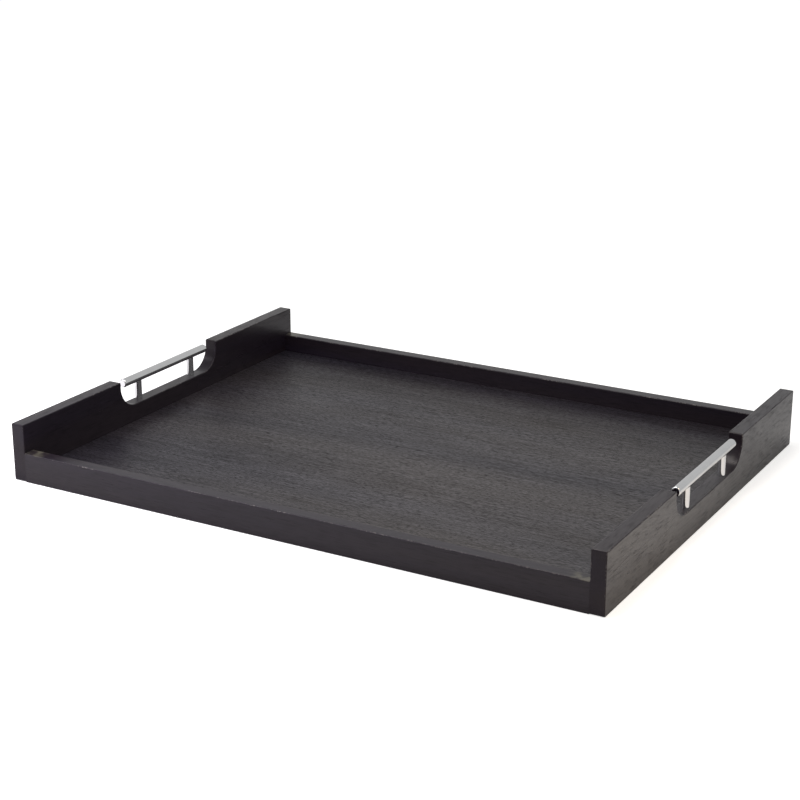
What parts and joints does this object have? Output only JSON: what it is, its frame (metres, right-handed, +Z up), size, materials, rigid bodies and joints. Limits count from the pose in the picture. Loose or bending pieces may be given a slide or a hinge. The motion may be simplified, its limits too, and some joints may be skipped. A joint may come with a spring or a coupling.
{
  "type": "butler tray",
  "caption": "Rectangular black-stained wooden serving tray with low rails, taller end panels and a polished bar handle set into a hand hole at each end.",
  "frame": {"origin": "under the middle of the tray, on the surface that it stands on", "axes": "+Z up, +X along the length to the right-hand end, -Y towards the front"},
  "size_m": [0.65, 0.493, 0.061],
  "materials": {
    "stained_wood": "satin black stain over close-grained wood",
    "veneer": "matt black-stained veneer, open grain along the length",
    "chrome": "mirror polished",
    "zinc_steel": "zinc plated",
    "dowel_wood": "plain beech"
  },
  "bodies": {
    "root": {"base_panel": "veneer", "front_rail": "stained_wood", "back_rail": "stained_wood", "left_end_panel": "stained_wood", "right_end_panel": "stained_wood", "left_handle_bar": "chrome", "right_handle_bar": "chrome", "left_front_post": "chrome", "left_back_post": "chrome", "right_front_post": "chrome", "right_back_post": "chrome", "left_front_screw": "zinc_steel", "left_back_screw": "zinc_steel", "right_front_screw": "zinc_steel", "right_back_screw": "zinc_steel", "front_left_lower_dowel": "dowel_wood", "front_left_upper_dowel": "dowel_wood", "front_right_lower_dowel": "dowel_wood", "front_right_upper_dowel": "dowel_wood", "back_left_lower_dowel": "dowel_wood", "back_left_upper_dowel": "dowel_wood", "back_right_lower_dowel": "dowel_wood", "back_right_upper_dowel": "dowel_wood"}
  },
  "joints": []
}
